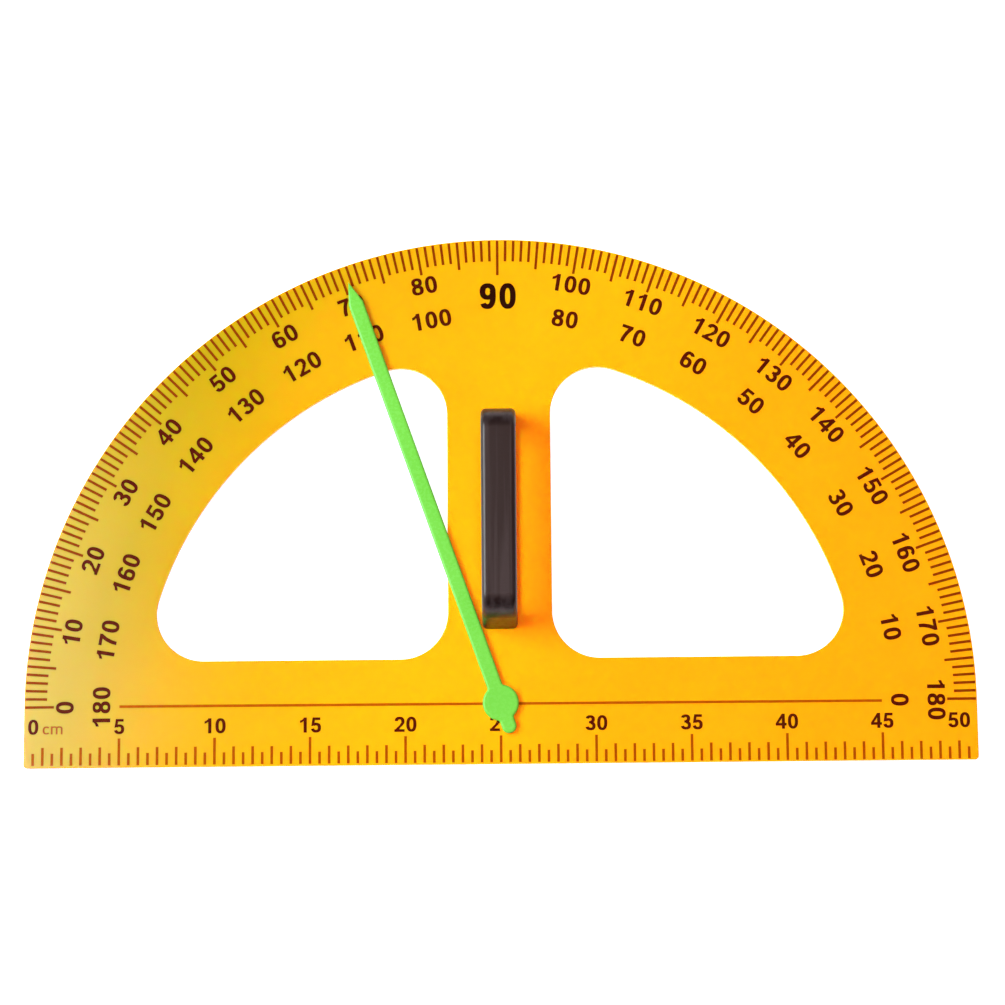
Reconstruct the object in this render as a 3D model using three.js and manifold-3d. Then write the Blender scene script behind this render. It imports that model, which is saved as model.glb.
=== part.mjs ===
// A classroom board protractor: a flat half-round scale plate with two open windows, a bridge
// handle screwed on from the back, and a pointer that swings about the centre of the scale.
// Lengths are in millimetres, +Z up. The plate lies on its back: the origin is on the pivot axis
// at the back face, +X runs along the ruler edge and +Y points to the 90 degree mark.
import * as THREE from 'three';
import { mergeVertices } from 'three/addons/utils/BufferGeometryUtils.js';
import Module from 'manifold-3d';

const wasm = await Module();
wasm.setup();

// ---- driving dimensions -------------------------------------------------------------------

const plate = {
  radius: 250,        // of the degree scale's edge: the ruler edge is 500 long
  strip: 32,          // depth of the ruler strip below the base line
  thickness: 3,
  cornerRadius: 2,    // at the two ends of the ruler edge
};
const opening = {     // each of the two windows
  inner: 27.5,        // half the width of the stem between them
  bottom: 23.6,       // above the base line
  outer: 188.3,       // radius of the curved side
  corner: 25,
};
const grip = {
  middle: 97.1,       // its middle, above the base line
  baseLength: 115.8,
  shoulderLength: 111.4,
  flatLength: 86.4,   // of the level top
  width: 18.2,
  height: 38,         // above the plate
  shoulderHeight: 22, // where the ends begin to curve over
  footLength: 9,
  sole: 3,            // height of the strip that joins the feet on the plate
  soleInset: 0.3,     // of its sides from the bar's
  clearance: 28,      // of the finger gap
  gapCorner: 7,
  gapDraft: 1.2,      // each side of the gap leans by this much
  edge: 2.6,          // rounding of the long edges
  wall: 2.2,
  sideDraft: 0.01,    // extra width at the base, as a share of the width
  rib: 1.6,
  ribs: [-33, -11, 11, 33],
  bossRadius: 3.1,
  bossHeight: 20,
  screwInset: 5.8,    // of each screw from the end of the foot
};
const pointer = {
  angle: 109.4,       // at rest, counter-clockwise from +X: beside the handle
  halfWidth: 4.15,
  shoulder: 228,      // where the arm starts to narrow
  tip: 240.3,
  hubRadius: 9.5,
  fillet: 1.8,
  tail: 16.8,
  tailRadius: 3.8,
  underside: 3.7,     // above the plate's back
  top: 6,
};
const pivot = {
  boreRadius: 4.2,    // the plate's hole
  bossRadius: 4.1,    // the pointer's boss in it
  flangeRadius: 7.6,
  flange: 1.3,
  recess: 1.6,        // depth of the plate's recess for the flange
  recessRadius: 7.9,
  pinRadius: 2.4,
  socketRadius: 2.5,
  pinTop: 4.8,
  socketTop: 5,
};
const washer = { inner: 4.6, outer: 8.2, thickness: 0.3, wave: 0.15, waves: 3, middle: 3.35 };
const screw = {
  headRadius: 3.4,
  rim: 0.2,           // straight edge of the head
  head: 2,
  coreRadius: 1.35,
  threadRadius: 1.65,
  pitch: 1.6,
  length: 13,
  sunk: 0.1,          // below the plate's back
  holeRadius: 1.85,
  slotLength: 3.6,
  slotWidth: 0.8,
  slotDepth: 1.1,
};
const seat = 0.1;     // gap between pieces that are screwed or pressed together

const materials = {
  plate: { color: 0xffbf0d, roughness: 0.3, metalness: 0 },
  grip: { color: 0x3a3434, roughness: 0.45, metalness: 0 },
  pointer: { color: 0x80e65a, roughness: 0.4, metalness: 0 },
  button: { color: 0x5fc447, roughness: 0.45, metalness: 0 },
  steel: { color: 0xb9bbbd, roughness: 0.35, metalness: 1 },
};

// ---- outlines and solids ------------------------------------------------------------------

const degrees = Math.PI / 180;

// Points on an arc from angle a to angle b, in degrees; ry makes it an ellipse.
function arc(x, y, r, a, b, steps, ry = r) {
  return Array.from({ length: steps + 1 }, (_, i) => {
    const t = (a + ((b - a) * i) / steps) * degrees;
    return new THREE.Vector2(x + r * Math.cos(t), y + ry * Math.sin(t));
  });
}

const mirrored = (points) => points.map((p) => new THREE.Vector2(-p.x, p.y)).reverse();

function solid(geometry) {
  geometry.deleteAttribute('normal');
  geometry.deleteAttribute('uv');
  const merged = mergeVertices(geometry, 1e-4);
  return new wasm.Manifold(new wasm.Mesh({
    numProp: 3,
    vertProperties: merged.attributes.position.array,
    triVerts: new Uint32Array(merged.index.array),
  }));
}

function geometryOf(body) {
  const result = body.getMesh();
  const geometry = new THREE.BufferGeometry();
  geometry.setAttribute('position', new THREE.BufferAttribute(result.vertProperties, 3));
  geometry.setIndex(new THREE.BufferAttribute(result.triVerts, 1));
  return geometry;
}

function extruded(points, bottom, top, holes = []) {
  const shape = new THREE.Shape(points);
  shape.holes = holes.map((hole) => new THREE.Path(hole));
  const geometry = new THREE.ExtrudeGeometry(shape, { depth: top - bottom, bevelEnabled: false });
  return solid(geometry.translate(0, 0, bottom));
}

// A round piece about Z from [radius, height] points that begin and end on the axis.
function turned(profile, sides = 48) {
  const points = profile.map(([r, z]) => new THREE.Vector2(r, z));
  return solid(new THREE.LatheGeometry(points, sides).rotateX(90 * degrees));
}

const cylinder = (r, bottom, top, sides) => turned([[0, bottom], [r, bottom], [r, top], [0, top]], sides);

function block(x, y, z) {
  const geometry = new THREE.BoxGeometry(x[1] - x[0], y[1] - y[0], z[1] - z[0]);
  return solid(geometry.translate((x[0] + x[1]) / 2, (y[0] + y[1]) / 2, (z[0] + z[1]) / 2));
}

// ---- scale plate --------------------------------------------------------------------------

const gripFoot = grip.baseLength / 2 - grip.screwInset;
const screwPlaces = {
  handle_screw_upper: grip.middle + gripFoot,
  handle_screw_lower: grip.middle - gripFoot,
};

function plateOutline() {
  const { radius, strip, cornerRadius: c } = plate;
  return [
    ...arc(radius - c, c - strip, c, -90, 0, 4),
    ...arc(0, 0, radius, 0, 180, 180),
    ...arc(c - radius, c - strip, c, 180, 270, 4),
  ];
}

function windowOutline() {
  const { inner, bottom, outer, corner: c } = opening;
  const reach = outer - c;
  const low = Math.asin((bottom + c) / reach) / degrees;
  const high = Math.acos((inner + c) / reach) / degrees;
  return [
    ...arc(inner + c, bottom + c, c, 180, 270, 12),
    ...arc(reach * Math.cos(low * degrees), bottom + c, c, -90, low, 14),
    ...arc(0, 0, outer, low, high, 54).slice(1, -1),
    ...arc(inner + c, reach * Math.sin(high * degrees), c, high, 180, 14),
  ];
}

function scalePlate() {
  const window = windowOutline();
  let body = extruded(plateOutline(), 0, plate.thickness, [window, mirrored(window)]);
  body = body.subtract(cylinder(pivot.boreRadius, -1, plate.thickness + 1));
  body = body.subtract(cylinder(pivot.recessRadius, -1, pivot.recess));
  const sink = screw.headRadius + seat;
  const rim = screw.sunk + screw.rim;
  const above = plate.thickness + 1;
  const hole = [
    [0, -1], [sink, -1], [sink, rim + seat], [screw.holeRadius, rim + seat + sink - screw.holeRadius],
    [screw.holeRadius, above], [0, above],
  ];
  for (const y of Object.values(screwPlaces)) body = body.subtract(turned(hole, 32).translate([0, y, 0]));
  return geometryOf(body);
}

// ---- handle -------------------------------------------------------------------------------

// Half of the handle's side outline, right of its middle, from the foot up and over to the middle.
function gripSide(inset, foot) {
  const shoulder = grip.shoulderLength / 2 - inset;
  const flat = grip.flatLength / 2;
  const lean = (grip.baseLength - grip.shoulderLength) / 2 / grip.shoulderHeight;
  return [
    new THREE.Vector2(shoulder + lean * (grip.shoulderHeight - foot), foot),
    ...arc(flat, grip.shoulderHeight, shoulder - flat, 0, 90, 10, grip.height - grip.shoulderHeight - inset),
  ];
}

// The finger gap's right half, from its top corner down to the foot, inset into the foot.
function gapSide(inset, foot) {
  const half = grip.baseLength / 2 - grip.footLength + inset;
  const c = grip.gapCorner + inset;
  const start = grip.clearance + inset - c;
  const lean = grip.gapDraft / start;
  return [
    ...arc(half - grip.gapDraft - c, start, c, 90, 0, 8),
    new THREE.Vector2(half - lean * foot, foot),
  ];
}

// Turns an outline of length and height into a solid across the handle's width, on the plate.
function acrossGrip(points, width, edge = 0) {
  const geometry = new THREE.ExtrudeGeometry(new THREE.Shape(points), {
    depth: width - 2 * edge,
    bevelEnabled: edge > 0,
    bevelSize: edge,
    bevelOffset: -edge,
    bevelThickness: edge,
    bevelSegments: 4,
  });
  geometry.translate(0, 0, edge - width / 2);
  const axes = new THREE.Matrix4().makeBasis(
    new THREE.Vector3(0, 1, 0),
    new THREE.Vector3(0, 0, 1),
    new THREE.Vector3(1, 0, 0),
  );
  const position = geometry.applyMatrix4(axes).attributes.position;
  for (let i = 0; i < position.count; i += 1) {
    const spread = 1 + grip.sideDraft * (1 - position.getZ(i) / grip.height);
    position.setX(i, position.getX(i) * spread);
  }
  return solid(geometry.translate(0, grip.middle, plate.thickness));
}

function handleGrip() {
  const below = -6;
  const outer = gripSide(0, below);
  const gap = gapSide(0, below);
  const outline = [...outer, ...mirrored(outer), ...mirrored(gap).slice(0, -1), ...gap].reverse();
  const shell = gripSide(grip.wall, below);
  const inside = [...shell, ...mirrored(shell)].reverse();
  const innerWidth = grip.width - 2 * grip.wall;
  const bridge = acrossGrip(outline, grip.width, grip.edge);
  let body = bridge.subtract(acrossGrip(inside, innerWidth));

  // the foot's inner wall follows the gap up to the open underside of the bar
  const lining = [...gapSide(0, below), ...gapSide(grip.wall, below).reverse()];
  for (const side of [lining.reverse(), mirrored(lining)]) {
    body = body.add(acrossGrip(side, innerWidth + 1));
  }
  const soleEnd = grip.baseLength / 2 - grip.footLength + grip.wall / 2;
  const soleSide = grip.width / 2 - grip.soleInset;
  body = body.add(block(
    [-soleSide, soleSide],
    [grip.middle - soleEnd, grip.middle + soleEnd],
    [plate.thickness, plate.thickness + grip.sole],
  ));
  const top = plate.thickness + grip.height - grip.wall / 2;
  const ribFoot = plate.thickness + grip.clearance + grip.wall;
  const half = innerWidth / 2 + 0.5;
  for (const s of grip.ribs) {
    const y = grip.middle + s;
    body = body.add(block([-half, half], [y - grip.rib / 2, y + grip.rib / 2], [ribFoot, top]));
  }
  for (const y of Object.values(screwPlaces)) {
    const boss = cylinder(grip.bossRadius, plate.thickness - 3, plate.thickness + grip.bossHeight, 32);
    body = body.add(boss.translate([0, y, 0]));
  }
  for (const y of Object.values(screwPlaces)) {
    const pilot = cylinder(screw.holeRadius, -6, screw.sunk + screw.length + 1, 32);
    body = body.subtract(pilot.translate([0, y, 0]));
  }
  const { baseLength: reach, middle } = grip;
  const floor = block([-reach, reach], [middle - reach, middle + reach], [-20, plate.thickness + seat]);
  return geometryOf(body.subtract(floor));
}

// A countersunk self-tapping screw, head down, with a cross recess.
function handleScrew() {
  const { headRadius, rim, head, coreRadius, threadRadius, pitch, length, sunk } = screw;
  const profile = [[0, sunk], [headRadius, sunk], [headRadius, sunk + rim], [coreRadius, sunk + head]];
  const tipLength = 2;
  for (let z = sunk + head + pitch / 2; z < sunk + length - tipLength; z += pitch) {
    profile.push([coreRadius, z], [threadRadius, z + 0.2 * pitch], [coreRadius, z + 0.4 * pitch]);
  }
  profile.push([coreRadius, sunk + length - tipLength], [0.2, sunk + length], [0, sunk + length]);
  let body = turned(profile, 24);
  const long = screw.slotLength / 2;
  const wide = screw.slotWidth / 2;
  const deep = [sunk - 1, sunk + screw.slotDepth];
  body = body.subtract(block([-long, long], [-wide, wide], deep));
  body = body.subtract(block([-wide, wide], [-long, long], deep));
  return geometryOf(body);
}

// ---- pointer and pivot --------------------------------------------------------------------

// Outline of the arm along +X: the tip, the two fillets into the hub, and the short tail.
function pointerOutline() {
  const { halfWidth: w, shoulder, tip, hubRadius: hub, fillet: f, tail, tailRadius: t } = pointer;
  const across = Math.asin((w + f) / (hub + f)) / degrees;
  const along = (hub + f) * Math.cos(across * degrees);
  const back = Math.asin((t + f) / (hub + f)) / degrees;
  const behind = (hub + f) * Math.cos(back * degrees);
  const upper = [
    new THREE.Vector2(shoulder, w),
    ...arc(along, w + f, f, 270, 180 + across, 5),
    ...arc(0, 0, hub, across, 180 - back, 24),
    ...arc(-behind, t + f, f, -back, -90, 5),
    ...arc(t - tail, 0, t, 90, 180, 10),
  ];
  const lower = upper.map((p) => new THREE.Vector2(p.x, -p.y)).reverse().slice(1);
  return [new THREE.Vector2(tip, 0), ...upper, ...lower];
}

function pointerArm() {
  const arm = extruded(pointerOutline(), pointer.underside, pointer.top);
  const boss = cylinder(pivot.bossRadius, pivot.flange + seat, pointer.underside + 0.5);
  const socket = cylinder(pivot.socketRadius, 0, pivot.socketTop, 32);
  return geometryOf(arm.add(boss).subtract(socket));
}

function pivotButton() {
  const { flangeRadius: r, flange, pinRadius: pin, pinTop } = pivot;
  return geometryOf(turned([
    [0, 0], [r - 0.4, 0], [r, 0.4], [r, flange],
    [pin, flange], [pin, pinTop - 0.5], [pin - 0.5, pinTop], [0, pinTop],
  ]));
}

// A ring of spring steel bent into waves, which presses the hub away from the plate.
function waveWasher() {
  const { inner, outer, thickness, wave, waves, middle } = washer;
  const half = thickness / 2;
  const ring = [[inner, -half], [outer, -half], [outer, half], [inner, half], [inner, -half]];
  const geometry = new THREE.LatheGeometry(ring.map(([r, z]) => new THREE.Vector2(r, z)), 72);
  const position = geometry.rotateX(90 * degrees).attributes.position;
  for (let i = 0; i < position.count; i += 1) {
    const turn = Math.atan2(position.getY(i), position.getX(i));
    position.setZ(i, position.getZ(i) + middle + wave * Math.cos(waves * turn));
  }
  return geometryOf(solid(geometry));
}

// ---- assembly -----------------------------------------------------------------------------

function piece(name, geometry, material) {
  geometry.computeVertexNormals();
  const mesh = new THREE.Mesh(geometry, new THREE.MeshStandardMaterial(materials[material]));
  mesh.name = name;
  return mesh;
}

const group = new THREE.Group();
group.name = 'board_protractor';
group.add(piece('scale_plate', scalePlate(), 'plate'));
group.add(piece('handle_grip', handleGrip(), 'grip'));
for (const [name, y] of Object.entries(screwPlaces)) {
  const fastener = piece(name, handleScrew(), 'steel');
  fastener.position.y = y;
  group.add(fastener);
}

const swing = new THREE.Group();
swing.name = 'pointer_swing';
swing.rotation.z = pointer.angle * degrees;
swing.add(piece('pointer_arm', pointerArm(), 'pointer'));
swing.add(piece('pivot_button', pivotButton(), 'button'));
swing.add(piece('wave_washer', waveWasher(), 'steel'));
group.add(swing);

export default group;
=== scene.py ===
"""A classroom board protractor: a yellow half-round scale plate with two windows, a black bridge
handle and a green pointer. Everything is in metres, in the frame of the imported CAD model."""
import math

import bmesh
import bpy
from mathutils import Matrix, Vector, geometry


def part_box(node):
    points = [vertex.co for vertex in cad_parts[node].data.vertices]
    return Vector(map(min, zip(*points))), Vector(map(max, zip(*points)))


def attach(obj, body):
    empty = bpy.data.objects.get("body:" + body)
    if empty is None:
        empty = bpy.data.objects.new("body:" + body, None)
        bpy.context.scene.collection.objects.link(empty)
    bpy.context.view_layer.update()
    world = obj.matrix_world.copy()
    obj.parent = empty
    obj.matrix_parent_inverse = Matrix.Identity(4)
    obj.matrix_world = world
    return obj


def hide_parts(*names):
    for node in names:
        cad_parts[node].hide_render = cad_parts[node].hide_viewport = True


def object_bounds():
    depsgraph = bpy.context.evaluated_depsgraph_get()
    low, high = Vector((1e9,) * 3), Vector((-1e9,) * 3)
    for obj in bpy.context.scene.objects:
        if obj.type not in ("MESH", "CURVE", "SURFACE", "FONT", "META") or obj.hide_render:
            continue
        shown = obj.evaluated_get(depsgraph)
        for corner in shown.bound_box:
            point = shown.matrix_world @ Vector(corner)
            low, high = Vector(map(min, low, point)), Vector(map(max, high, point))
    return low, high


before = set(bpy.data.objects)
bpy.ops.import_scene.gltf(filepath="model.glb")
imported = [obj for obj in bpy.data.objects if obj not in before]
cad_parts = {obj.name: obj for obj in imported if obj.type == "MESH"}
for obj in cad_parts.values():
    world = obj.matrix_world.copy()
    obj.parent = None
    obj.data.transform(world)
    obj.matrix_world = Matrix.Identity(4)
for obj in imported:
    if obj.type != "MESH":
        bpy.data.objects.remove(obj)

cad_low, cad_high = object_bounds()

# ---- dimensions, in metres unless they say otherwise -------------------------------------------

MM = 0.001
plate_low, plate_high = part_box("scale_plate")
RADIUS = plate_high.x
THICKNESS = plate_high.z
STRIP = plate_low.y  # the ruler's edge; the base line is at y = 0
grip_low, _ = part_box("handle_grip")
_, button_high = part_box("pivot_button")

PLATE_EDGE = 0.35 * MM
PLATE_CORNER = 2 * MM
WINDOW = dict(inner=27.5 * MM, bottom=23.6 * MM, outer=188.3 * MM, corner=25 * MM)
PIVOT = dict(
    bore=4.2 * MM, boss=4.1 * MM, boss_foot=1.4 * MM, recess=7.9 * MM, recess_depth=1.6 * MM,
    socket=2.5 * MM, socket_top=5 * MM,
)
POINTER = dict(
    angle=109.4, half_width=4.1 * MM, shoulder=228 * MM, tip=240.3 * MM, hub=9.5 * MM,
    fillet=1.8 * MM, tail=16.8 * MM, tail_radius=3.85 * MM, underside=3.7 * MM, top=6 * MM,
    edge=1.3 * MM, edge_drop=0.7, lower_edge=0.25 * MM, boss_overlap=0.5 * MM,
)
BUTTON = dict(radius=7.6 * MM, flange=1.3 * MM, pin=2.4 * MM, edge=0.4 * MM, chamfer=0.5 * MM)
WASHER = dict(width=3.6 * MM, thickness=0.3 * MM, waves=3)
GRIP = dict(
    middle=97.1 * MM, base=115.8 * MM, shoulder=111.4 * MM, flat=86.4 * MM, width=18.2 * MM,
    height=38 * MM, shoulder_height=22 * MM, foot=9 * MM, clearance=28 * MM, gap_corner=7 * MM,
    gap_draft=1.2 * MM, edge=2.6 * MM, wall=2.2 * MM, side_draft=0.01, rib=1.6 * MM,
    ribs=(-33 * MM, -11 * MM, 11 * MM, 33 * MM), boss=3.1 * MM, boss_height=20 * MM,
    pilot=1.85 * MM, overlap=0.5 * MM, sole=3 * MM, sole_inset=0.3 * MM, sole_edge=0.6 * MM,
    screw_inset=5.8 * MM,
)
SCREW = dict(
    head=3.4 * MM, rim=0.2 * MM, head_height=2 * MM, core=1.35 * MM, thread=1.65 * MM,
    pitch=1.6 * MM, length=13 * MM, point=2 * MM, tip=0.2 * MM, sunk=0.1 * MM, hole=1.85 * MM,
    gap=0.1 * MM,
)
CROSS_SLOT = dict(reach=1.8 * MM, half_width=0.4 * MM, depth=1.3 * MM, draft=0.25 * MM)
SCREW_Y = [GRIP["middle"] + s * (GRIP["base"] / 2 - GRIP["screw_inset"]) for s in (1, -1)]
INK = 0.05 * MM
TICK = dict(
    inner=238 * MM, fifth=234.3 * MM, right_angle=230.3 * MM, margin=0.55 * MM, width=1.38 * MM,
)
NUMERAL = dict(outer=228.6 * MM, inner=209.4 * MM, height=9.35 * MM)
NINETY = dict(height=14.1 * MM, x=0.1 * MM, y=218.9 * MM, pitch=0.752, width=0.92)
PRINT_DROP = -0.25 * MM
# How far some numerals sit off their mark along the arc, in millimetres, clockwise positive.
OUTER_NUDGES = {140: -0.4, 120: 0.4, 100: 0.4, 80: -0.5, 70: -0.7, 60: -0.4, 40: -0.9, 10: 0.7}
INNER_NUDGES = {
    170: -1.1, 160: -1.1, 150: -1.9, 140: -1.1, 100: 0.9, 80: -0.4, 70: 0.4, 60: -0.5,
    40: -2.2, 30: -0.4, 20: -0.4, 10: -2.3,
}
BASE_LINE = dict(start=9 * MM, end=200 * MM, y=-0.3 * MM, width=1.38 * MM)
RULER_TILT = -0.09  # in degrees
RULER = dict(
    margin=0.95 * MM, width=1.4 * MM, half=-24.7 * MM, whole=-21.6 * MM, numbered=-17 * MM,
    height=7.95 * MM, y=-10.75 * MM, pitch=0.775, zero=5 * MM, fifty=490.2 * MM,
)
UNIT = dict(
    height=5.9 * MM, y=-11.3 * MM, weight=0.155, letters=(("c", -238.1 * MM), ("m", -232.7 * MM)),
)

BODY_STEPS = 96
SCREW_STEPS = 64
PILOT_STEPS = 48

CAMERA = dict(
    target=(1.75 * MM, 106.5 * MM), distance=1.702, azimuth=-1.2, elevation=80.44, roll=0.64,
    lens=115, sensor=36, side=18 * MM,
)
FLOOR = dict(half=6, drop=0.2 * MM, color=(0.9, 0.9, 0.9), glow=(0.66, 0.78, 1, 1), strength=0.88)

# ---- outlines ----------------------------------------------------------------------------------


def arc(x, y, r, start, end, steps, ry=None):
    """Points on an arc from start to end, in degrees."""
    ry = r if ry is None else ry
    turns = [math.radians(start + (end - start) * i / steps) for i in range(steps + 1)]
    return [Vector((x + r * math.cos(t), y + ry * math.sin(t))) for t in turns]


def circle(x, y, r, steps):
    """Points round a circle, without the first one repeated at the end."""
    return arc(x, y, r, 0, 360, steps)[:-1]


def mirrored(points):
    """Points mirrored left to right, in the opposite order so that an outline keeps its sense."""
    return [Vector((-p.x, p.y)) for p in reversed(points)]


def moved_in(loop, distance):
    """A closed loop moved sideways into the material, which lies on its left."""
    result = []
    for before, here, after in zip(loop[-1:] + loop[:-1], loop, loop[1:] + loop[:1]):
        a, b = (here - before).normalized(), (after - here).normalized()
        left_a, left_b = Vector((-a.y, a.x)), Vector((-b.y, b.x))
        middle = (left_a + left_b) / (1 + max(-0.5, left_a.dot(left_b)))
        result.append(here + middle * distance)
    return result


def without_repeats(points, gap=1e-6):
    """A closed outline without points that fall on the one before."""
    kept = []
    for p in points:
        if not kept or (p - kept[-1]).length > gap:
            kept.append(p)
    return kept[:-1] if (kept[0] - kept[-1]).length <= gap else kept


# ---- meshes ------------------------------------------------------------------------------------


def cap(bm, rings, facing_up):
    """Fills the flat region between an outer ring of vertices and the rings of its holes."""
    verts = [v for ring in rings for v in ring]
    flat = [v.co.xy for v in verts]
    faces, start = [], 0
    for number, ring in enumerate(rings):
        corners = list(range(start, start + len(ring)))
        faces.append(list(reversed(corners)) if number else corners)
        start += len(ring)
    _, _, triangles, source, _, of_face = geometry.delaunay_2d_cdt(flat, [], faces, 0, 1e-9)
    for corners, origin in zip(triangles, of_face):
        if set(origin) == {0}:
            chosen = [verts[source[c][0]] for c in corners]
            bm.faces.new(chosen if facing_up else reversed(chosen))


def prism(bm, loops, profile):
    """A solid from an outer loop and its holes.

    profile lists (inset, height) from bottom to top.
    """
    levels = []
    for inset, height in profile:
        levels.append([
            [bm.verts.new((p.x, p.y, height)) for p in moved_in(loop, inset)] for loop in loops
        ])
    for low, high in zip(levels, levels[1:]):
        for a, b in zip(low, high):
            for i in range(len(a)):
                j = (i + 1) % len(a)
                bm.faces.new((a[i], a[j], b[j], b[i]))
    cap(bm, levels[0], False)
    cap(bm, levels[-1], True)


def lathe(bm, profile, steps=BODY_STEPS, y=0.0):
    """A closed solid turned about an upright axis at (0, y).

    profile lists (radius, height) points and starts and ends on the axis.
    """
    rings = []
    for r, z in profile:
        if r == 0:
            rings.append([bm.verts.new((0, y, z))])
        else:
            rings.append([bm.verts.new((p.x, p.y, z)) for p in circle(0, y, r, steps)])
    for low, high in zip(rings, rings[1:]):
        for i in range(steps):
            j = (i + 1) % steps
            corners = [low[i % len(low)], low[j % len(low)]]
            corners += [high[j % len(high)], high[i % len(high)]]
            unique = list(dict.fromkeys(corners))
            if len(unique) > 2:
                bm.faces.new(unique)


def cylinder(radius, low, high, steps=BODY_STEPS, y=0.0):
    """A plain upright cylinder about (0, y), between two heights."""
    bm = bmesh.new()
    lathe(bm, [(0, low), (radius, low), (radius, high), (0, high)], steps, y)
    return bm


def rounded(edge, steps, low, high):
    """A prism profile with both rims rounded by edge."""
    turns = [math.pi / 2 * i / steps for i in range(steps + 1)]
    lower = [(edge * (1 - math.sin(t)), low + edge * (1 - math.cos(t))) for t in turns]
    upper = [(edge * (1 - math.cos(t)), high - edge * (1 - math.sin(t))) for t in turns]
    return lower + upper


def piece(name, bm, material, body, replaces=(), crease=32, weighted=True):
    """Turns bm into a finished piece: smooth faces, creases above crease degrees, a material and
    the CAD body that it rides on."""
    bmesh.ops.remove_doubles(bm, verts=bm.verts, dist=1e-8)
    bmesh.ops.recalc_face_normals(bm, faces=bm.faces)
    for face in bm.faces:
        face.smooth = True
    limit = math.radians(crease)
    for edge in bm.edges:
        edge.smooth = edge.is_manifold and edge.calc_face_angle(0) < limit
    mesh = bpy.data.meshes.new(name)
    bm.to_mesh(mesh)
    bm.free()
    mesh.materials.append(material)
    obj = bpy.data.objects.new(name, mesh)
    bpy.context.scene.collection.objects.link(obj)
    if weighted:
        normals = obj.modifiers.new("even_shading", "WEIGHTED_NORMAL")
        normals.keep_sharp = True
        normals.weight = 100
    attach(obj, body)
    if replaces:
        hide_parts(*replaces)


def combined(first, others, operation):
    """The mesh of first joined with or cut by the others, as a new bmesh."""

    def held(bm):
        bmesh.ops.recalc_face_normals(bm, faces=bm.faces)
        mesh = bpy.data.meshes.new("tool")
        bm.to_mesh(mesh)
        bm.free()
        obj = bpy.data.objects.new("tool", mesh)
        bpy.context.scene.collection.objects.link(obj)
        return obj

    base = held(first)
    tools = [held(other) for other in others]
    for tool in tools:
        modifier = base.modifiers.new("cut", "BOOLEAN")
        modifier.operation = operation
        modifier.solver = "EXACT"
        modifier.object = tool
    bpy.context.view_layer.update()
    result = bmesh.new()
    result.from_object(base, bpy.context.evaluated_depsgraph_get())
    for obj in [base, *tools]:
        mesh = obj.data
        bpy.data.objects.remove(obj)
        bpy.data.meshes.remove(mesh)
    return result


# ---- materials ---------------------------------------------------------------------------------


def shader(name, color, roughness, **settings):
    """A new material, its tree and its Principled shader, with other sockets set by name."""
    material = bpy.data.materials.new(name)
    material.use_nodes = True
    principled = material.node_tree.nodes["Principled BSDF"]
    principled.inputs["Base Color"].default_value = (*color, 1)
    principled.inputs["Roughness"].default_value = roughness
    for key, value in settings.items():
        principled.inputs[key.replace("_", " ")].default_value = value
    return material, material.node_tree, principled


def noise(tree, scale, detail=3.0, roughness=0.5, stretch=(1, 1, 1)):
    """Noise over the object's own coordinates, scale in features per metre."""
    place = tree.nodes.new("ShaderNodeTexCoord")
    mapping = tree.nodes.new("ShaderNodeMapping")
    mapping.inputs["Scale"].default_value = stretch
    texture = tree.nodes.new("ShaderNodeTexNoise")
    texture.inputs["Scale"].default_value = scale
    texture.inputs["Detail"].default_value = detail
    texture.inputs["Roughness"].default_value = roughness
    tree.links.new(place.outputs["Object"], mapping.inputs["Vector"])
    tree.links.new(mapping.outputs["Vector"], texture.inputs["Vector"])
    return texture.outputs["Fac"]


def spread(tree, value, low, high, start=0.3, end=0.7):
    """Maps a value from start..end to low..high. The defaults suit noise."""
    node = tree.nodes.new("ShaderNodeMapRange")
    node.inputs["From Min"].default_value = start
    node.inputs["From Max"].default_value = end
    node.inputs["To Min"].default_value = low
    node.inputs["To Max"].default_value = high
    tree.links.new(value, node.inputs["Value"])
    return node.outputs["Result"]


def blended(tree, factor, first, second):
    """A colour that runs from first to second with factor."""
    node = tree.nodes.new("ShaderNodeMix")
    node.data_type = "RGBA"
    node.inputs["A"].default_value = (*first, 1)
    node.inputs["B"].default_value = (*second, 1)
    tree.links.new(factor, node.inputs["Factor"])
    return node.outputs["Result"]


def mixed(tree, factor, first, second):
    """As blended, for two colours that are already node outputs."""
    node = tree.nodes.new("ShaderNodeMix")
    node.data_type = "RGBA"
    tree.links.new(factor, node.inputs["Factor"])
    tree.links.new(first, node.inputs["A"])
    tree.links.new(second, node.inputs["B"])
    return node.outputs["Result"]


def bump(tree, height, distance, strength):
    node = tree.nodes.new("ShaderNodeBump")
    node.inputs["Distance"].default_value = distance
    node.inputs["Strength"].default_value = strength
    tree.links.new(height, node.inputs["Height"])
    return node.outputs["Normal"]


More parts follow.
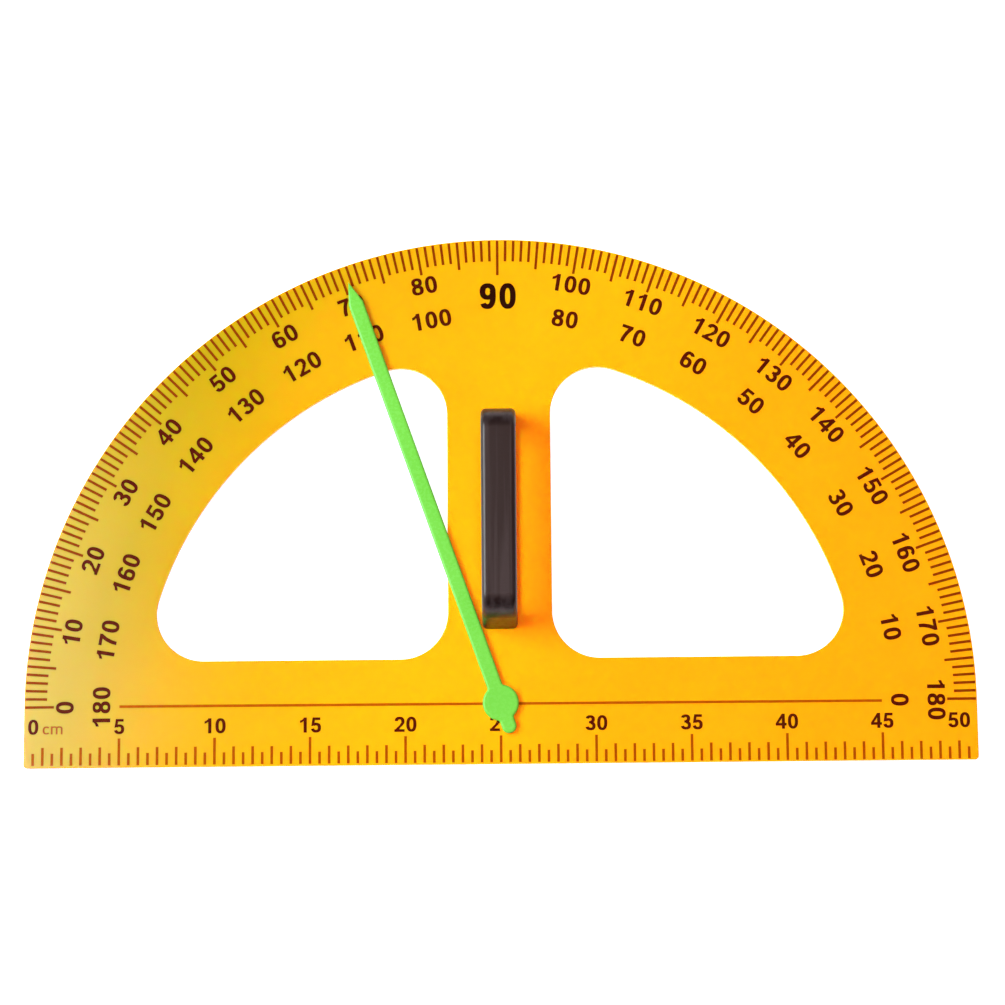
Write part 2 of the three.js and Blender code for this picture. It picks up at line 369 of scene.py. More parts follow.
def plate_plastic():
    """Glossy translucent yellow with painted light along it: a little paler and greener towards the
    left end, more orange towards the right.
    """
    material, tree, shade = shader(
        "yellow_plastic", (0.95, 0.44, 0.002), 0.1, Subsurface_Weight=1.0, Subsurface_Scale=0.007,
        Subsurface_Radius=(1.0, 0.15, 0.02), Specular_IOR_Level=0.32,
    )
    place = tree.nodes.new("ShaderNodeTexCoord")
    leftward = tree.nodes.new("ShaderNodeVectorMath")
    leftward.operation = "DOT_PRODUCT"
    leftward.inputs[1].default_value = (-1, 0.4, 0)
    tree.links.new(place.outputs["Object"], leftward.inputs[0])
    cloud = spread(tree, noise(tree, 14, 3), 0, 1)
    # Painted light and painted reflection: these colours stand in for the cool light and cool
    # reflection on the left end and the warmer light on the right.
    warm = blended(tree, cloud, (0.98, 0.402, 0.0012), (0.98, 0.422, 0.0018))
    middle = blended(tree, cloud, (0.98, 0.45, 0.0014), (0.98, 0.47, 0.0022))
    painted_pale_light = blended(tree, cloud, (0.44, 0.325, 0.002), (0.47, 0.34, 0.003))
    first = spread(tree, leftward.outputs["Value"], 0, 1, -0.06, 0.06)
    left_painted_light = spread(tree, leftward.outputs["Value"], 0, 1, 0.02, 0.23)
    yellow = mixed(tree, left_painted_light, mixed(tree, first, warm, middle), painted_pale_light)
    tree.links.new(yellow, shade.inputs["Base Color"])
    tree.links.new(spread(tree, noise(tree, 220, 4, 0.6), 0.08, 0.105), shade.inputs["Roughness"])
    tree.links.new(bump(tree, noise(tree, 420, 2), 0.002 * MM, 0.3), shade.inputs["Normal"])
    return material


def grip_plastic():
    """Moulded black plastic with a satin face, faintly streaked along its length."""
    material, tree, shade = shader(
        "black_plastic", (0.026, 0.021, 0.023), 0.38, Specular_IOR_Level=0.5,
        Specular_Tint=(1, 0.8, 0.82, 1),
    )
    streaks = spread(tree, noise(tree, 260, 2, 0.5, (1, 0.03, 1)), 0, 1, 0.42, 0.58)
    black = blended(tree, streaks, (0.003, 0.002, 0.003), (0.018, 0.0145, 0.0175))
    tree.links.new(black, shade.inputs["Base Color"])
    tree.links.new(spread(tree, noise(tree, 500, 3), 0.34, 0.42), shade.inputs["Roughness"])
    grain = noise(tree, 2200, 2)
    tree.links.new(bump(tree, grain, 0.006 * MM, 0.4), shade.inputs["Normal"])
    return material


def pointer_plastic():
    """Green plastic, slightly cloudy and less glossy than the plate."""
    material, tree, shade = shader("green_plastic", (0.16, 0.5, 0.06), 0.28, Specular_IOR_Level=0.3)
    cloud = spread(tree, noise(tree, 40, 3), 0, 1)
    green = blended(tree, cloud, (0.125, 0.52, 0.050), (0.140, 0.55, 0.061))
    tree.links.new(green, shade.inputs["Base Color"])
    tree.links.new(spread(tree, noise(tree, 500, 3), 0.22, 0.32), shade.inputs["Roughness"])
    grain = noise(tree, 1500, 2)
    tree.links.new(bump(tree, grain, 0.0012 * MM, 0.2), shade.inputs["Normal"])
    return material


def ink(name, color, thin):
    """Printed ink: dense in places, and a little thinner where thin shows through."""
    material, tree, shade = shader(
        name, color, 0.12, Specular_IOR_Level=0.1, Specular_Tint=(1.0, 0.5, 0.3, 1.0)
    )
    cover = spread(tree, noise(tree, 500, 3), 0, 1)
    tree.links.new(blended(tree, cover, color, thin), shade.inputs["Base Color"])
    tree.links.new(spread(tree, noise(tree, 900, 2), 0.09, 0.14), shade.inputs["Roughness"])
    return material


def plated_steel():
    """Plated steel, uneven in tone and gloss, for the screws and the washer."""
    material, tree, shade = shader("plated_steel", (0.48, 0.49, 0.5), 0.3, Metallic=1.0)
    cloud = spread(tree, noise(tree, 700, 3), 0, 1)
    silver = blended(tree, cloud, (0.44, 0.45, 0.46), (0.54, 0.55, 0.56))
    tree.links.new(silver, shade.inputs["Base Color"])
    tree.links.new(spread(tree, noise(tree, 1500, 3), 0.22, 0.42), shade.inputs["Roughness"])
    tree.links.new(bump(tree, noise(tree, 4000, 2), 0.01 * MM, 0.5), shade.inputs["Normal"])
    return material


YELLOW = plate_plastic()
BLACK = grip_plastic()
GREEN = pointer_plastic()
STEEL = plated_steel()
DARK_INK = ink("dark_ink", (0.052, 0.004, 0.001), (0.085, 0.009, 0.002))
BLACK_INK = ink("black_ink", (0.012, 0.002, 0.001), (0.02, 0.004, 0.002))
TICK_INK = ink("tick_ink", (0.18, 0.028, 0.001), (0.23, 0.040, 0.001))
RULE_INK = ink("rule_ink", (0.29, 0.055, 0.001), (0.35, 0.070, 0.001))
LINE_INK = ink("line_ink", (0.34, 0.065, 0.001), (0.40, 0.085, 0.001))
UNIT_INK = ink("unit_ink", (0.30, 0.07, 0.006), (0.36, 0.09, 0.010))

# ---- scale plate -------------------------------------------------------------------------------


def plate_outline():
    """The half-round and the ruler strip below it, with rounded lower corners."""
    c = PLATE_CORNER
    return without_repeats(
        arc(RADIUS - c, STRIP + c, c, -90, 0, 10)
        + arc(0, 0, RADIUS, 0, 180, 540)
        + arc(c - RADIUS, STRIP + c, c, 180, 270, 10)
    )


def window_outline():
    """The right window: a quarter of a disc cut off near the stem and the base line."""
    inner, bottom, outer, c = (WINDOW[k] for k in ("inner", "bottom", "outer", "corner"))
    reach = outer - c
    low = math.degrees(math.asin((bottom + c) / reach))
    high = math.degrees(math.acos((inner + c) / reach))
    return without_repeats(
        arc(inner + c, bottom + c, c, 180, 270, 40)
        + arc(reach * math.cos(math.radians(low)), bottom + c, c, -90, low, 46)
        + arc(0, 0, outer, low, high, 150)
        + arc(inner + c, reach * math.sin(math.radians(high)), c, high, 180, 46)
    )


def scale_plate():
    """The plate with its windows, pivot bore, button recess and countersunk screw holes."""
    window = window_outline()
    loops = [plate_outline()] + [list(reversed(w)) for w in (window, mirrored(window))]
    bm = bmesh.new()
    prism(bm, loops, rounded(PLATE_EDGE, 4, 0, THICKNESS))
    below, above = -MM, THICKNESS + MM
    cutters = [
        cylinder(PIVOT["bore"], below, above),
        cylinder(PIVOT["recess"], below, PIVOT["recess_depth"]),
    ]
    sink = SCREW["head"] + SCREW["gap"]
    rim = SCREW["sunk"] + SCREW["rim"] + SCREW["gap"]
    hole = SCREW["hole"]
    countersink = [
        (0, below), (sink, below), (sink, rim),
        (hole, rim + sink - hole), (hole, above), (0, above),
    ]
    for y in SCREW_Y:
        cutter = bmesh.new()
        lathe(cutter, countersink, SCREW_STEPS, y)
        cutters.append(cutter)
    body = combined(bm, cutters, "DIFFERENCE")
    piece("scale_sheet", body, YELLOW, "plate", ["scale_plate"])


# ---- print -------------------------------------------------------------------------------------


def inked(name, outlines, material):
    """Ink on the plate's face: each item of outlines is one mark, made of overlapping outlines."""
    bm = bmesh.new()
    for strokes in outlines:
        points, faces = [], []
        for stroke in strokes:
            faces.append(list(range(len(points), len(points) + len(stroke))))
            points.extend(stroke)
        flat, _, triangles, _, _, of_face = geometry.delaunay_2d_cdt(points, [], faces, 0, 1e-9)
        filled = [t for t, origin in zip(triangles, of_face) if origin]
        low = [bm.verts.new((p.x, p.y, THICKNESS - INK / 10)) for p in flat]
        high = [bm.verts.new((p.x, p.y, THICKNESS + INK)) for p in flat]
        sides = {}
        for t in filled:
            bm.faces.new([high[i] for i in t])
            bm.faces.new([low[i] for i in reversed(t)])
            for a, b in zip(t, list(t[1:]) + [t[0]]):
                sides[(a, b)] = True
        for a, b in sides:
            if (b, a) not in sides:
                bm.faces.new((low[a], low[b], high[b], high[a]))
        for v in [v for v in low + high if not v.link_faces]:
            bm.verts.remove(v)
    piece(name, bm, material, "plate", weighted=False)


def bar(x0, y0, x1, y1, t):
    """A straight stroke of thickness t between two points."""
    along = (Vector((x1, y1)) - Vector((x0, y0))).normalized() * (t / 2)
    side = Vector((-along.y, along.x))
    a, b = Vector((x0, y0)), Vector((x1, y1))
    return [a - side, b - side, b + side, a + side]


def squarish(x, y, rx, ry, start, end, steps, power=2.35):
    """Points on a slightly squared ellipse from start to end, in degrees."""
    points = []
    for i in range(steps + 1):
        t = math.radians(start + (end - start) * i / steps)
        c, s = math.cos(t), math.sin(t)
        across, up = (math.copysign(abs(v) ** (2 / power), v) for v in (c, s))
        points.append(Vector((x + rx * across, y + ry * up)))
    return points


def bow(x, y, rx, ry, start, end, t, thin):
    """Part of a ring from start to end degrees, t wide at its sides and thin at its top."""
    steps = max(8, int(abs(end - start) / 6))
    outer = squarish(x, y, rx, ry, start, end, steps)
    inner = squarish(x, y, rx - t, ry - thin, start, end, steps)
    return outer + list(reversed(inner))


def ring(x, y, rx, ry, t, thin):
    """A whole ring, made of two bows."""
    return [bow(x, y, rx, ry, 0, 180, t, thin), bow(x, y, rx, ry, 180, 360, t, thin)]


def box_stroke(x0, y0, x1, y1):
    return [Vector((x0, y0)), Vector((x1, y0)), Vector((x1, y1)), Vector((x0, y1))]


def outlined(*corners):
    return [Vector(c) for c in corners]


def glyph(char, t):
    """Strokes of one character, with upright strokes t wide. It stands on y = 0 about x = 0.

    Digits are 1 high, and all numbers are shares of that height. The letters are 0.72 high.
    """
    thin = 0.82 * t
    if char == "0":
        return ring(0, 0.5, 0.335, 0.5, t, thin)
    if char == "1":
        stem = 0.065
        return [
            box_stroke(stem - t / 2, 0, stem + t / 2, 1),
            outlined((stem, 0.98), (stem - t / 2 + 0.03, 0.99), (-0.08, 0.90), (-0.17, 0.84),
                     (-0.28, 0.80), (-0.28, 0.635), (-0.15, 0.68), (stem - t / 2, 0.76),
                     (stem, 0.76)),
        ]
    if char == "2":
        return [
            bow(-0.005, 0.69, 0.325, 0.31, -28, 176, t, thin),
            outlined((0.085, 0.60), (0.0, 0.44), (-0.19, 0.27), (-0.30, 0.13), (-0.34, 0.02),
                     (-0.10, 0.02), (-0.06, 0.12), (0.03, 0.27), (0.20, 0.42), (0.285, 0.56)),
            box_stroke(-0.35, 0, 0.325, thin),
        ]
    if char == "3":
        return [
            bow(-0.015, 0.735, 0.305, 0.265, -88, 168, t, thin),
            bow(0, 0.29, 0.335, 0.29, -170, 88, t, thin),
            box_stroke(-0.10, 0.455, 0.06, 0.455 + thin * 0.9),
        ]
    if char == "4":
        return [
            box_stroke(0.04, 0, 0.04 + t * 0.96, 1),
            box_stroke(-0.37, 0.21, 0.355, 0.21 + thin),
            outlined((-0.365, 0.22), (-0.18, 0.22 + thin * 0.9), (0.06, 0.72), (0.10, 0.99),
                     (0.045, 0.995), (-0.365, 0.20 + thin)),
        ]
    if char == "5":
        return [
            bow(0, 0.325, 0.335, 0.325, -168, 142, t, thin),
            outlined((-0.31, 0.42), (-0.13, 0.46), (-0.04, 0.99), (-0.222, 0.99)),
            box_stroke(-0.225, 1 - thin, 0.29, 1),
        ]
    if char == "6":
        return ring(0.005, 0.32, 0.33, 0.32, t, thin * 0.95) + [
            bow(0.015, 0.5, 0.34, 0.5, 92, 215, t, thin),
            bow(0.015, 0.73, 0.30, 0.27, 14, 96, t, thin),
        ]
    if char == "7":
        return [
            box_stroke(-0.33, 1 - thin * 1.05, 0.325, 1),
            outlined((-0.19, 0), (0.01, 0), (0.05, 0.27), (0.15, 0.56), (0.318, 0.85),
                     (0.20, 0.90), (0.07, 0.86), (-0.07, 0.58), (-0.165, 0.27)),
        ]
    if char == "8":
        lower = ring(0, 0.285, 0.335, 0.285, t, thin * 0.9)
        return lower + ring(0, 0.745, 0.305, 0.255, t * 0.95, thin * 0.9)
    if char == "9":
        return [[Vector((-p.x, 1 - p.y)) for p in stroke] for stroke in glyph("6", t)]
    if char == "c":
        return [bow(0, 0.36, 0.33, 0.36, 40, 320, t, thin)]
    half = 0.52  # of the letter m, the only character left
    leg = half - t / 2
    return [
        box_stroke(-half, 0, t - half, 0.72),
        bow(t / 2 - leg / 2 - t / 2, 0.5, leg / 2 + t / 2, 0.22, 0, 165, t, thin),
        box_stroke(-t / 2, 0, t / 2, 0.5),
        bow(leg / 2, 0.5, leg / 2 + t / 2, 0.22, 0, 165, t, thin),
        box_stroke(half - t, 0, half, 0.5),
    ]


def word(text, height, centre, turn=0.0, pitch=0.8, width=1.0, weight=0.212):
    """The marks of a short text about centre, with its upright turned by turn degrees.

    pitch, width and weight are the spacing, the stretch and the stroke, as shares of the height.
    """
    rotation = Matrix.Rotation(math.radians(turn), 2)
    middle = Vector(centre)

    def placed(p, shift):
        return rotation @ (Vector((p.x * width + shift, p.y - 0.5)) * height) + middle

    marks = []
    for i, char in enumerate(text):
        shift = (i - (len(text) - 1) / 2) * pitch
        strokes = glyph(char, weight / width)
        marks.append([[placed(p, shift) for p in stroke] for stroke in strokes])
    return marks


def polar(radius, degrees):
    """The point at an angle on a circle about the pivot."""
    t = math.radians(degrees)
    return Vector((radius * math.cos(t), radius * math.sin(t)))


def degree_ticks():
    """One mark for each degree, longer at every fifth and longest at the right angle."""
    marks = []
    for d in range(181):
        inner = TICK["inner"]
        if d % 5 == 0:
            inner = TICK["fifth"]
        if d == 90:
            inner = TICK["right_angle"]
        a, b = polar(inner, d), polar(RADIUS - TICK["margin"], d)
        marks.append([bar(a.x, a.y, b.x, b.y, TICK["width"])])
    inked("degree_ticks", marks, TICK_INK)


def degree_numerals():
    """Two opposed rows of tens. A few words sit off their mark along the arc, by the nudges."""
    for name, radius, nudges, reading in (
        ("outer_numerals", NUMERAL["outer"], OUTER_NUDGES, lambda d: 180 - d),
        ("inner_numerals", NUMERAL["inner"], INNER_NUDGES, lambda d: d),
    ):
        marks = []
        for d in range(0, 181, 10):
            if d != 90:
                place = d - math.degrees(nudges.get(d, 0) * MM / radius)
                centre = polar(radius, place) + Vector((0, PRINT_DROP))
                marks += word(str(reading(d)), NUMERAL["height"], centre, place - 90)
        inked(name, marks, DARK_INK)
    n = NINETY
    ninety = word("90", n["height"], (n["x"], n["y"]), pitch=n["pitch"], width=n["width"])
    inked("ninety_numeral", ninety, BLACK_INK)


def tilted(marks):
    """The ruler and its base line are printed very slightly out of level."""
    turn = Matrix.Rotation(math.radians(RULER_TILT), 2)
    return [[[turn @ Vector(p) for p in stroke] for stroke in strokes] for strokes in marks]


def base_line():
    """The line through the pivot, interrupted at the hub."""
    start, end, y, width = (BASE_LINE[k] for k in ("start", "end", "y", "width"))
    marks = [[bar(side * start, y, side * end, y, width)] for side in (-1, 1)]
    inked("base_line", tilted(marks), LINE_INK)


def ruler():
    """Half centimetres along the lower edge, with a number every five centimetres."""
    marks = []
    half_centimetre = 5 * MM
    for k in range(1, 100):
        x = -RADIUS + half_centimetre * k
        top = RULER["half"]
        if k % 2 == 0:
            top = RULER["whole"]
        if k % 10 == 0:
            top = RULER["numbered"]
        marks.append([bar(x, STRIP + RULER["margin"], x, top, RULER["width"])])
    inked("ruler_ticks", tilted(marks), RULE_INK)
    numerals = []
    inside_the_ends = {0: RULER["zero"], 50: RULER["fifty"]}
    for value in range(0, 55, 5):
        x = inside_the_ends.get(value, 10 * MM * value) - RADIUS
        numerals += word(str(value), RULER["height"], (x, RULER["y"]), pitch=RULER["pitch"])
    inked("ruler_numerals", tilted(numerals), DARK_INK)
    unit = []
    for letter, x in UNIT["letters"]:
        unit += word(letter, UNIT["height"], (x, UNIT["y"]), weight=UNIT["weight"])
    inked("unit_letters", unit, UNIT_INK)


# ---- handle ------------------------------------------------------------------------------------


def grip_side(inset, foot):
    """Half of the handle's side outline, from height foot up to the middle of its top.

    x runs along the handle from its middle, and y is the height above the plate.
    """
    shoulder = GRIP["shoulder"] / 2 - inset
    flat = GRIP["flat"] / 2
    lean = (GRIP["base"] - GRIP["shoulder"]) / 2 / GRIP["shoulder_height"]
    rise = GRIP["height"] - GRIP["shoulder_height"] - inset
    return [Vector((shoulder + lean * (GRIP["shoulder_height"] - foot), foot))] + arc(
        flat, GRIP["shoulder_height"], shoulder - flat, 0, 90, 28, rise
    )


def gap_side(inset, foot):
    """Half of the finger gap's outline, from the middle of its roof down to height foot."""
    half = GRIP["base"] / 2 - GRIP["foot"] + inset
    c = GRIP["gap_corner"] + inset
    start = GRIP["clearance"] + inset - c
    lean = GRIP["gap_draft"] / start
    corner = arc(half - GRIP["gap_draft"] - c, start, c, 90, 0, 24)
    return corner + [Vector((half - lean * foot, foot))]


def across(points, width, edge=0.0, steps=1):
    """A solid with the handle's side outline, across its width, standing on the plate."""
    bm = bmesh.new()
    outline = without_repeats(points)
    half = width / 2
    profile = rounded(edge, steps, -half, half) if edge else [(0, -half), (0, half)]
    prism(bm, [outline], profile)
    for v in bm.verts:
        length, height, side = v.co
        spread_out = 1 + GRIP["side_draft"] * (1 - height / GRIP["height"])
        v.co = (side * spread_out, GRIP["middle"] + length, THICKNESS + height)
    return bm


def cuboid(x, y, z):
    """A box between the two values given for each axis."""
    bm = bmesh.new()
    prism(bm, [box_stroke(x[0], y[0], x[1], y[1])], [(0, z[0]), (0, z[1])])
    return bm


def sole():
    """The low strip on the plate that joins the handle's feet."""
    side = GRIP["width"] / 2 - GRIP["sole_inset"]
    end = GRIP["base"] / 2 - GRIP["foot"] + GRIP["wall"] / 2
    outline = box_stroke(-side, GRIP["middle"] - end, side, GRIP["middle"] + end)
    edge = rounded(GRIP["sole_edge"], 4, THICKNESS, THICKNESS + GRIP["sole"])
    bm = bmesh.new()
    prism(bm, [outline], [(0, THICKNESS)] + edge[len(edge) // 2:])
    return bm


def counter_clockwise(points):
    """The same closed outline, listed counter-clockwise."""
    doubled_area = sum(a.x * b.y - b.x * a.y for a, b in zip(points, points[1:] + points[:1]))
    return points if doubled_area > 0 else list(reversed(points))


def handle():
    """A moulding that is open towards the plate: shell, gap lining, sole, ribs and screw bosses.

    It is built down to below the plate's face and then cut off at the CAD handle's foot.
    """
    below, far_below = -6 * MM, -20 * MM
    outer = grip_side(0, below)
    gap = gap_side(0, below)
    outline = counter_clockwise(outer + mirrored(outer) + mirrored(gap)[:-1] + gap)
    shell = grip_side(GRIP["wall"], below)
    inside = counter_clockwise(shell + mirrored(shell))
    inner_width = GRIP["width"] - 2 * GRIP["wall"]
    solid = across(outline, GRIP["width"], GRIP["edge"], 8)
    body = combined(solid, [across(inside, inner_width)], "DIFFERENCE")
    added = []
    lining = gap_side(0, below) + list(reversed(gap_side(GRIP["wall"], below)))
    for side in (lining, mirrored(lining)):
        added.append(across(counter_clockwise(side), inner_width + 2 * GRIP["overlap"]))
    added.append(sole())
    top = THICKNESS + GRIP["height"] - GRIP["wall"] / 2
    rib_foot = THICKNESS + GRIP["clearance"] + GRIP["wall"]
    half = inner_width / 2 + GRIP["overlap"]
    for s in GRIP["ribs"]:
        y = GRIP["middle"] + s
        length = (y - GRIP["rib"] / 2, y + GRIP["rib"] / 2)
        added.append(cuboid((-half, half), length, (rib_foot, top)))
    boss_top = THICKNESS + GRIP["boss_height"]
    for y in SCREW_Y:
        added.append(cylinder(GRIP["boss"], 0, boss_top, SCREW_STEPS, y))
    body = combined(body, added, "UNION")
    pilot_top = SCREW["sunk"] + SCREW["length"] + MM
    cutters = [cylinder(GRIP["pilot"], below, pilot_top, PILOT_STEPS, y) for y in SCREW_Y]
    reach, middle = GRIP["base"], GRIP["middle"]
    length = (middle - reach, middle + reach)
    cutters.append(cuboid((-reach, reach), length, (far_below, grip_low.z)))
    body = combined(body, cutters, "DIFFERENCE")
    piece("bridge_handle", body, BLACK, "plate", ["handle_grip"], crease=35)


def handle_screw(name, node, y):
    """A countersunk screw with a cross slot, its head in the plate's back and its point up."""
    s, c = SCREW, CROSS_SLOT
    core, bottom = s["core"], s["sunk"]
    neck, end = bottom + s["head_height"], bottom + s["length"]
    profile = [(0, bottom), (s["head"], bottom), (s["head"], bottom + s["rim"]), (core, neck)]
    z = neck + s["pitch"] / 2
    while z < end - s["point"]:
        crest, foot = z + 0.2 * s["pitch"], z + 0.4 * s["pitch"]
        profile += [(core, z), (s["thread"], crest), (core, foot)]
        z += s["pitch"]
    profile += [(core, end - s["point"]), (s["tip"], end), (0, end)]
    bm = bmesh.new()
    lathe(bm, profile, SCREW_STEPS, y)
    slots = []
    for turn in (0, 90):
        slot = bmesh.new()
        outline = box_stroke(-c["reach"], -c["half_width"], c["reach"], c["half_width"])
        prism(slot, [outline], [(0, bottom - MM), (0, bottom), (c["draft"], bottom + c["depth"])])
        place = Matrix.Translation((0, y, 0)) @ Matrix.Rotation(math.radians(turn), 4, "Z")
        bmesh.ops.transform(slot, matrix=place, verts=slot.verts)
        slots.append(slot)
    body = combined(bm, slots, "DIFFERENCE")
    piece(name, body, STEEL, "plate", [node], crease=30)


# ---- pointer and pivot -------------------------------------------------------------------------


def pointer_outline():
    """The arm along x, from its tip to its tail, with a fillet on each side of the hub."""
    p = POINTER
    w, hub, f, t = p["half_width"], p["hub"], p["fillet"], p["tail_radius"]
    across_angle = math.degrees(math.asin((w + f) / (hub + f)))
    along = (hub + f) * math.cos(math.radians(across_angle))
    back = math.degrees(math.asin((t + f) / (hub + f)))
    behind = (hub + f) * math.cos(math.radians(back))
    upper = (
        [Vector((p["shoulder"], w))]
        + arc(along, w + f, f, 270, 180 + across_angle, 12)
        + arc(0, 0, hub, across_angle, 180 - back, 60)
        + arc(-behind, t + f, f, -back, -90, 12)
        + arc(t - p["tail"], 0, t, 90, 180, 24)
    )
    lower = [Vector((v.x, -v.y)) for v in reversed(upper)]
    return without_repeats([Vector((p["tip"], 0))] + upper + lower[1:])


def pointer():
    """The arm, its boss in the plate's bore and the socket for the pin, turned to its angle."""
    p = POINTER
    edge, drop = p["edge"], p["edge"] * p["edge_drop"]
    profile = [(p["lower_edge"], p["underside"]), (0, p["underside"] + p["lower_edge"])]
    turns = [math.pi / 2 * i / 6 for i in range(7)]
    profile += [(edge * (1 - math.cos(t)), p["top"] - drop * (1 - math.sin(t))) for t in turns]
    bm = bmesh.new()
    prism(bm, [pointer_outline()], profile)
    boss = cylinder(PIVOT["boss"], PIVOT["boss_foot"], p["underside"] + p["boss_overlap"])
    socket = cylinder(PIVOT["socket"], 0, PIVOT["socket_top"], PILOT_STEPS)
    body = combined(combined(bm, [boss], "UNION"), [socket], "DIFFERENCE")
    turn = Matrix.Rotation(math.radians(p["angle"]), 4, "Z")
    bmesh.ops.transform(body, matrix=turn, verts=body.verts)
    piece("swing_pointer", body, GREEN, "pointer", ["pointer_arm"])


def button():
    """The button that closes the pivot from behind, and its pin."""
    r, flange, pin, edge, chamfer = (
        BUTTON[k] for k in ("radius", "flange", "pin", "edge", "chamfer")
    )
    top = button_high.z
    turns = [math.pi / 12 * i for i in range(7)]
    soft = [(r - edge + edge * math.sin(t), edge * (1 - math.cos(t))) for t in turns]
    shank = [(pin, flange), (pin, top - chamfer), (pin - chamfer, top), (0, top)]
    bm = bmesh.new()
    lathe(bm, [(0, 0)] + soft + [(r, flange)] + shank)
    piece("rear_button", bm, GREEN, "pointer", ["pivot_button"])


def washer():
    """A ring of spring steel that waves up and down between the plate and the hub."""
    low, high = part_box("wave_washer")
    outer, inner, thickness = high.x, high.x - WASHER["width"], WASHER["thickness"]
    middle, wave = (low.z + high.z) / 2, (high.z - low.z - thickness) / 2
    bm = bmesh.new()
    steps = 144
    start = math.radians(POINTER["angle"])
    swell = [math.cos(WASHER["waves"] * (2 * math.pi * i / steps - start)) for i in range(steps)]
    rings = []
    for r, dz in ((inner, -0.5), (outer, -0.5), (outer, 0.5), (inner, 0.5)):
        rings.append([
            bm.verts.new((q.x, q.y, middle + dz * thickness + wave * up))
            for q, up in zip(circle(0, 0, r, steps), swell)
        ])
    for a, b in zip(rings, rings[1:] + rings[:1]):
        for i in range(steps):
            j = (i + 1) % steps
            bm.faces.new((a[i], a[j], b[j], b[i]))
    piece("spring_washer", bm, STEEL, "pointer", ["wave_washer"])


# ---- floor, light and camera -------------------------------------------------------------------


def floor():
    """A pale floor with a bluish glow of its own, which keeps it white in the picture."""
    r = FLOOR["half"]
    mesh = bpy.data.meshes.new("floor")
    mesh.from_pydata([(-r, -r, 0), (r, -r, 0), (r, r, 0), (-r, r, 0)], [], [(0, 1, 2, 3)])
    material, _, _ = shader(
        "pale_floor", FLOOR["color"], 0.8, Emission_Color=FLOOR["glow"],
        Emission_Strength=FLOOR["strength"],
    )
    mesh.materials.append(material)
    obj = bpy.data.objects.new("floor", mesh)
    obj.location.z = cad_low.z - FLOOR["drop"]
    bpy.context.scene.collection.objects.link(obj)


def area_light(name, place, target, size, power, color, mirrored_by_gloss=True):
    """A rectangular lamp that faces target, with its size in metres and its power in watts."""
    data = bpy.data.lights.new(name, "AREA")
    data.shape = "RECTANGLE"
    data.size, data.size_y = size
    data.energy = power
    data.color = color
    obj = bpy.data.objects.new(name, data)
    obj.location = place
    obj.rotation_euler = (Vector(target) - Vector(place)).to_track_quat("-Z", "Y").to_euler()
    obj.visible_glossy = mirrored_by_gloss
    bpy.context.scene.collection.objects.link(obj)


def ramp(tree, value, start, end):
    """Runs smoothly from 0 at start to 1 at end."""
    node = tree.nodes.new("ShaderNodeMapRange")
    node.interpolation_type = "SMOOTHSTEP"
    node.inputs["From Min"].default_value = start
    node.inputs["From Max"].default_value = end
    tree.links.new(value, node.inputs["Value"])
    return node.outputs["Result"]


def product(tree, *values):
    """The values multiplied together."""
    result = values[0]
    for value in values[1:]:
        node = tree.nodes.new("ShaderNodeMath")
        node.operation = "MULTIPLY"
        tree.links.new(result, node.inputs[0])
        tree.links.new(value, node.inputs[1])
        result = node.outputs["Value"]
    return result


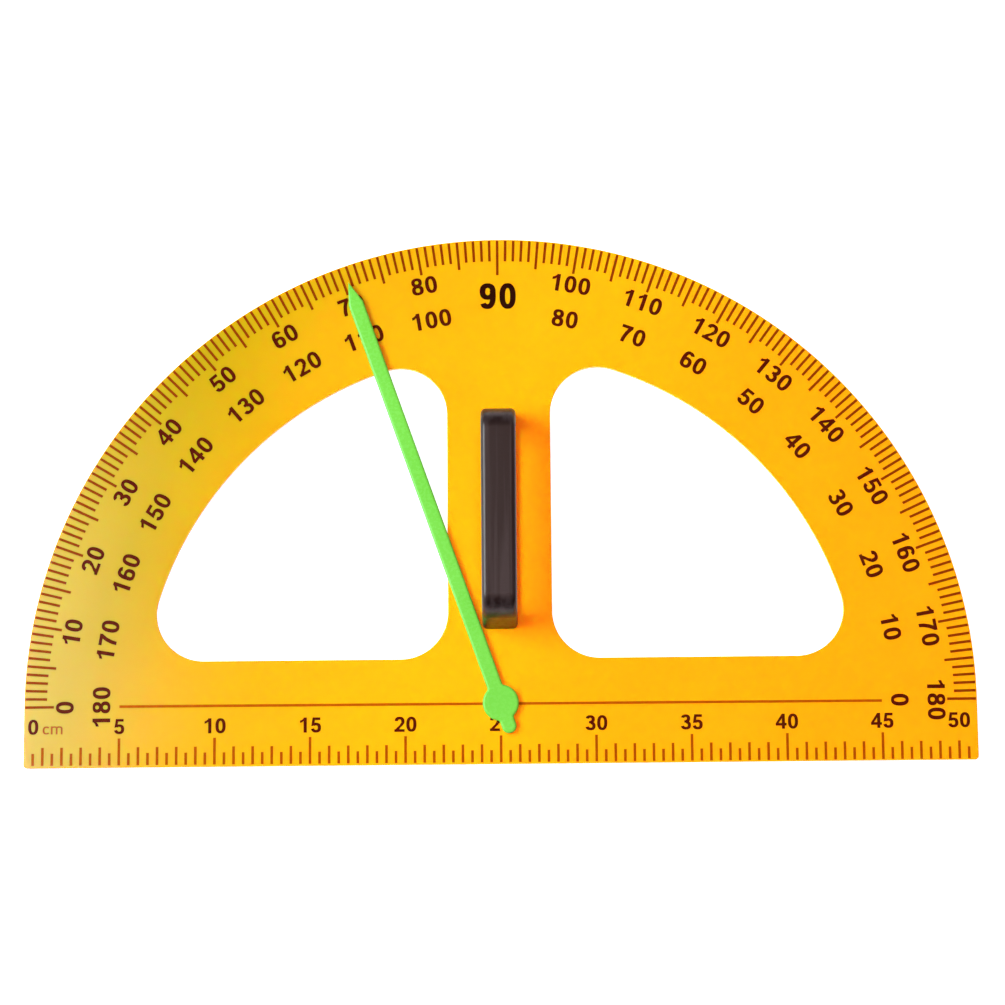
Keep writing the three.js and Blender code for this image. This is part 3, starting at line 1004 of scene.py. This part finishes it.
def room():
    """A dim warm room with one pale reflector, up on the left.

    x, y and z are the parts of each direction's unit vector. The walls grow darker to the right,
    in front and behind.
    """
    world = bpy.data.worlds.new("room")
    world.use_nodes = True
    tree = world.node_tree
    place = tree.nodes.new("ShaderNodeTexCoord")
    toward = tree.nodes.new("ShaderNodeSeparateXYZ")
    tree.links.new(place.outputs["Generated"], toward.inputs["Vector"])
    x, y, z = (toward.outputs[axis] for axis in "XYZ")
    walls = tree.nodes["Background"]
    walls.inputs["Color"].default_value = (1, 0.4, 0.22, 1)
    to_the_right = spread(tree, ramp(tree, x, 0.9, 0.1), 0.15, 0.64, 0, 1)
    in_front = spread(tree, ramp(tree, y, -0.8, -0.1), 0.32, 1, 0, 1)
    behind = spread(tree, ramp(tree, y, 0.8, 0.25), 0.4, 1, 0, 1)
    tree.links.new(product(tree, to_the_right, in_front, behind), walls.inputs["Strength"])
    reflector = tree.nodes.new("ShaderNodeBackground")
    reflector.inputs["Color"].default_value = (0.95, 1, 1, 1)
    shape = product(
        tree, ramp(tree, x, -0.102, -0.18), ramp(tree, x, -0.30, -0.22),
        ramp(tree, y, 0.27, 0.12), ramp(tree, y, -0.2, 0.0), ramp(tree, z, 0.5, 0.7),
    )
    tree.links.new(spread(tree, shape, 0, 8.5, 0, 1), reflector.inputs["Strength"])
    both = tree.nodes.new("ShaderNodeAddShader")
    tree.links.new(walls.outputs["Background"], both.inputs[0])
    tree.links.new(reflector.outputs["Background"], both.inputs[1])
    tree.links.new(both.outputs["Shader"], tree.nodes["World Output"].inputs["Surface"])
    bpy.context.scene.world = world


def studio():
    """A window-like key light from the left and a small warm lamp near the camera."""
    middle = (0, 0.1, 0)
    area_light("key_softbox", (-1.24, 0.28, 1.22), middle, (1.1, 0.9), 47, (0.72, 1.0, 1.0))
    area_light("front_light", (0.12, -0.1, 2.0), middle, (0.4, 0.4), 16.5, (1.0, 0.7, 0.6), False)
    room()
    bpy.context.scene.view_settings.view_transform = "Standard"


def camera():
    """Above the plate, leaning a little towards the ruler edge.

    It stands a little to the side, with the lens shifted back by as much. The plate keeps its
    place in the picture, while the raised top of the handle moves.
    """
    c = CAMERA
    target = Vector((*c["target"], THICKNESS))
    a, e = math.radians(c["azimuth"]), math.radians(c["elevation"])
    back = Vector((math.sin(a) * math.cos(e), -math.cos(a) * math.cos(e), math.sin(e)))
    data = bpy.data.cameras.new("camera")
    data.lens = c["lens"]
    data.sensor_width = c["sensor"]
    data.clip_start, data.clip_end = 0.01, 50
    data.shift_x = -c["side"] * data.lens / data.sensor_width / c["distance"]
    obj = bpy.data.objects.new("camera", data)
    obj.location = target + back * c["distance"] + Vector((c["side"], 0, 0))
    look = (-back).to_track_quat("-Z", "Y")
    roll = Matrix.Rotation(math.radians(c["roll"]), 3, "Z").to_quaternion()
    obj.rotation_mode = "QUATERNION"
    obj.rotation_quaternion = look @ roll
    bpy.context.scene.collection.objects.link(obj)
    bpy.context.scene.camera = obj


camera()
scale_plate()
degree_ticks()
degree_numerals()
base_line()
ruler()
handle()
handle_screw("screw_upper", "handle_screw_upper", SCREW_Y[0])
handle_screw("screw_lower", "handle_screw_lower", SCREW_Y[1])
pointer()
button()
washer()
floor()
studio()
